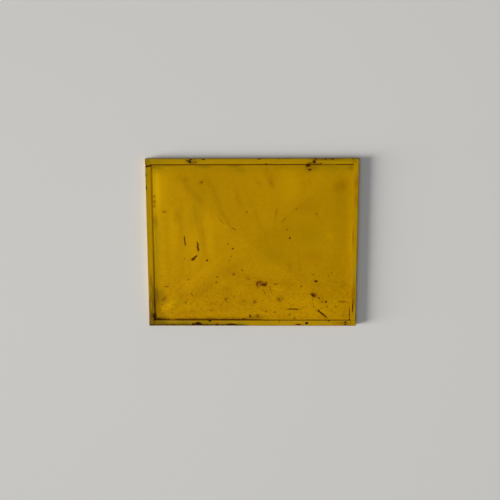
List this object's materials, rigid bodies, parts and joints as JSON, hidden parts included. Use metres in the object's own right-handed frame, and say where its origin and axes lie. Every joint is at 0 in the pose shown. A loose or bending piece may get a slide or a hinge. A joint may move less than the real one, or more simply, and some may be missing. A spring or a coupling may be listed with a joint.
{
  "type": "framed steel plate",
  "caption": "Rectangular painted steel panel: a sheet creased from corner to corner and welded behind a frame of angle bars, with bolt holes through the top and bottom bars.",
  "frame": {"origin": "under the middle of the panel, on the plane that the bars' back edges rest on", "axes": "+X along the width towards the right bar, +Y along the height towards the top bar, +Z out of the painted face"},
  "size_m": [0.96, 0.775, 0.034],
  "materials": {
    "sheet_paint": "worn satin yellow paint with chips, scratches and rust specks",
    "frame_paint": "worn satin yellow paint, chipped to rusty steel at edges and holes"
  },
  "bodies": {
    "root": {"face_sheet": "sheet_paint", "top_bar": "frame_paint", "right_bar": "frame_paint", "bottom_bar": "frame_paint", "left_bar": "frame_paint"}
  },
  "joints": []
}
